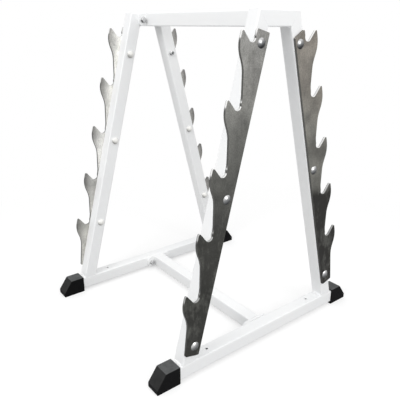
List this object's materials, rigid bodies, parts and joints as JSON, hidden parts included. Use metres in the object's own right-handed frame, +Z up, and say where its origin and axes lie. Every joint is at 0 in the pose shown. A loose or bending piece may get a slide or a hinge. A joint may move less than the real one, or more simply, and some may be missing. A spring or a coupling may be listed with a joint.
{
  "type": "barbell storage rack",
  "caption": "Free-standing A-frame rack of square steel tube with hooked steel plates on its legs, for storing barbells across it.",
  "frame": {"origin": "on the floor, at the middle of the rack's length and depth", "axes": "+X along the stored bars and the crossbars, +Y from the front to the back, +Z up"},
  "size_m": [0.804, 0.948, 1.151],
  "materials": {
    "white_paint": "white powder coat, satin gloss",
    "mill_steel": "dark mottled mill finish, bright where it was cut",
    "chrome": "polished domed bolt heads",
    "zinc": "bright zinc plating",
    "rubber": "moulded black rubber, matt",
    "cap_plastic": "cream white plastic"
  },
  "bodies": {
    "root": {"base_tube_left": "white_paint", "base_tube_right": "white_paint", "cap_nut_left_back_2": "cap_plastic", "cap_nut_left_back_3": "cap_plastic", "cap_nut_left_front_1": "cap_plastic", "cap_nut_left_front_2": "cap_plastic", "cap_nut_left_front_3": "cap_plastic", "cap_nut_right_back_1": "cap_plastic", "cap_nut_right_back_2": "cap_plastic", "cap_nut_right_back_3": "cap_plastic", "cap_nut_right_front_1": "cap_plastic", "cap_nut_right_front_2": "cap_plastic", "cap_nut_right_front_3": "cap_plastic", "crossbar_bottom": "white_paint", "crossbar_top": "white_paint", "flange_bolt_bottom_left_back": "zinc", "flange_bolt_bottom_left_front": "zinc", "flange_bolt_bottom_right_back": "zinc", "flange_bolt_bottom_right_front": "zinc", "flange_bolt_top_left_back": "zinc", "flange_bolt_top_left_front": "zinc", "flange_bolt_top_right_back": "zinc", "flange_bolt_top_right_front": "zinc", "flange_bottom_left": "white_paint", "flange_bottom_right": "white_paint", "flange_top_left": "white_paint", "flange_top_right": "white_paint", "foot_left_back": "rubber", "foot_left_front": "rubber", "foot_right_back": "rubber", "foot_right_front": "rubber", "header_left": "white_paint", "header_right": "white_paint", "hex_nut_left_back_1": "zinc", "hook_plate_left_back": "mill_steel", "hook_plate_left_front": "mill_steel", "hook_plate_right_back": "mill_steel", "hook_plate_right_front": "mill_steel", "leg_left_back": "white_paint", "leg_left_front": "white_paint", "leg_right_back": "white_paint", "leg_right_front": "white_paint", "plate_bolt_left_back_1": "chrome", "plate_bolt_left_back_2": "chrome", "plate_bolt_left_back_3": "chrome", "plate_bolt_left_front_1": "chrome", "plate_bolt_left_front_2": "chrome", "plate_bolt_left_front_3": "chrome", "plate_bolt_right_back_1": "chrome", "plate_bolt_right_back_2": "chrome", "plate_bolt_right_back_3": "chrome", "plate_bolt_right_front_1": "chrome", "plate_bolt_right_front_2": "chrome", "plate_bolt_right_front_3": "chrome"}
  },
  "joints": []
}
